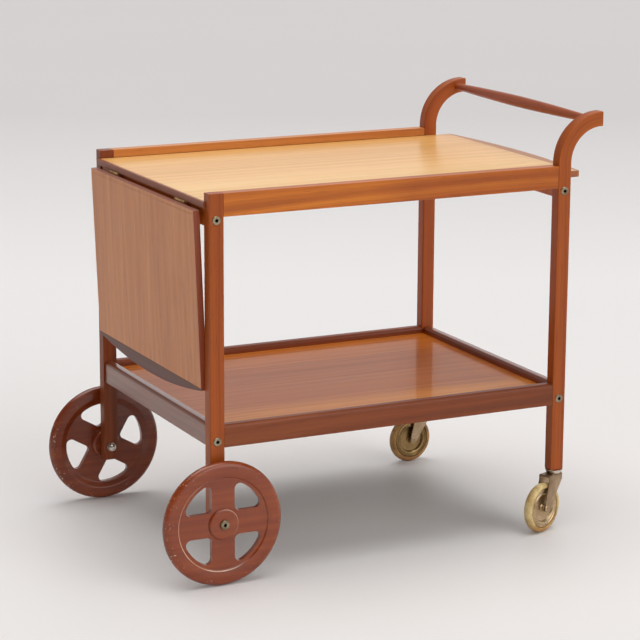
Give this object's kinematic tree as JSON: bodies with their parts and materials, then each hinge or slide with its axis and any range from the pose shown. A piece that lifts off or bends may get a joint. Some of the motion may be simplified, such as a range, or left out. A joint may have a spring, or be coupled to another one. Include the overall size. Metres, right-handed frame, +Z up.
{
  "type": "drop leaf tea trolley",
  "caption": "Wooden tea trolley with a sliding tray top and hanging drop leaf, lower shelf, bar handle, large spoked wheels at the leaf end and swivel casters at the handle end",
  "frame": {"origin": "On the floor, below the middle of the bounding box", "axes": "+X along the length to the handle end, -X to the drop leaf, +Z up, +Y across the width, away from the near side"},
  "size_m": [0.8356, 0.5648, 0.743],
  "materials": {
    "leg_wood": "satin lacquer",
    "top_rail_wood": "satin lacquer",
    "shelf_rail_wood": "gloss lacquer",
    "top_veneer": "gloss lacquer",
    "shelf_veneer": "gloss lacquer",
    "leaf_veneer": "satin lacquer",
    "lipping_wood": "satin lacquer",
    "wheel_wood": "worn satin lacquer",
    "dowel_wood": "raw",
    "bronzed_steel": "worn bronze plate",
    "zinc_steel": "zinc plate",
    "nickel": "nickel plate",
    "brass": "satin",
    "caster_steel": "yellowed zinc plate",
    "caster_rubber": "matte"
  },
  "bodies": {
    "frame": {"axle_bolts": "bronzed_steel", "axle_sleeves": "zinc_steel", "axle_washers": "zinc_steel", "barrel_nuts": "zinc_steel", "cross_rail_dowels": "dowel_wood", "dome_nuts": "nickel", "far_caster_socket": "caster_steel", "far_handle_leg": "leg_wood", "far_left_leg": "leg_wood", "far_shelf_rail": "shelf_rail_wood", "far_top_rail": "top_rail_wood", "frame_bolts": "bronzed_steel", "handle_bar": "top_rail_wood", "handle_shelf_cross_rail": "shelf_rail_wood", "handle_top_cross_rail": "top_rail_wood", "left_shelf_cross_rail": "shelf_rail_wood", "left_top_cross_rail": "top_rail_wood", "near_caster_socket": "caster_steel", "near_handle_leg": "leg_wood", "near_left_leg": "leg_wood", "near_shelf_rail": "shelf_rail_wood", "near_top_rail": "top_rail_wood", "shelf_panel": "shelf_veneer", "side_frame_dowels": "dowel_wood"},
    "sliding_top": {"board_bowed_lipping": "lipping_wood", "board_end_lipping": "lipping_wood", "board_panel": "top_veneer", "board_screws": "brass", "far_hinge_board_plate": "brass", "far_hinge_pin": "brass", "far_runner_strip": "lipping_wood", "near_hinge_board_plate": "brass", "near_hinge_pin": "brass", "near_runner_strip": "lipping_wood", "top_stop_block": "lipping_wood"},
    "leaf": {"far_hinge_leaf_plate": "brass", "leaf_bowed_lipping": "lipping_wood", "leaf_hinge_lipping": "lipping_wood", "leaf_panel": "leaf_veneer", "leaf_screws": "brass", "near_hinge_leaf_plate": "brass"},
    "near_wheel_body": {"near_wheel": "wheel_wood"},
    "far_wheel_body": {"far_wheel": "wheel_wood"},
    "near_caster_swivel": {"near_caster_axle": "caster_steel", "near_caster_fork": "caster_steel", "near_caster_race": "caster_steel", "near_caster_stem": "caster_steel"},
    "far_caster_swivel": {"far_caster_axle": "caster_steel", "far_caster_fork": "caster_steel", "far_caster_race": "caster_steel", "far_caster_stem": "caster_steel"},
    "near_caster_roller": {"near_caster_disc": "caster_steel", "near_caster_tyre": "caster_rubber"},
    "far_caster_roller": {"far_caster_disc": "caster_steel", "far_caster_tyre": "caster_rubber"}
  },
  "joints": [
    {"name": "top_slide", "type": "slide", "parent": "frame", "child": "sliding_top", "axis": [1, 0, 0], "range_m": [0, 0.005]},
    {"name": "leaf_hinge", "type": "hinge", "parent": "sliding_top", "child": "leaf", "pos_m": [-0.3308, 0, 0.627], "axis": [0, 1, 0], "range_deg": [-5, 92.33]},
    {"name": "near_wheel_spin", "type": "hinge", "parent": "frame", "child": "near_wheel_body", "pos_m": [-0.31175, -0.26575, 0.106], "axis": [0, 1, 0], "continuous": true},
    {"name": "far_wheel_spin", "type": "hinge", "parent": "frame", "child": "far_wheel_body", "pos_m": [-0.31175, 0.26575, 0.106], "axis": [0, 1, 0], "continuous": true},
    {"name": "near_caster_turn", "type": "hinge", "parent": "frame", "child": "near_caster_swivel", "pos_m": [0.34275, -0.24075, 0.106], "axis": [0, 0, 1], "continuous": true},
    {"name": "near_caster_spin", "type": "hinge", "parent": "near_caster_swivel", "child": "near_caster_roller", "pos_m": [0.31288, -0.25222, 0.0445], "axis": [-0.3584, 0.9336, 0], "continuous": true},
    {"name": "far_caster_turn", "type": "hinge", "parent": "frame", "child": "far_caster_swivel", "pos_m": [0.34275, 0.24075, 0.106], "axis": [0, 0, 1], "continuous": true},
    {"name": "far_caster_spin", "type": "hinge", "parent": "far_caster_swivel", "child": "far_caster_roller", "pos_m": [0.3109, 0.23768, 0.0445], "axis": [-0.0958, 0.9954, 0], "continuous": true}
  ]
}
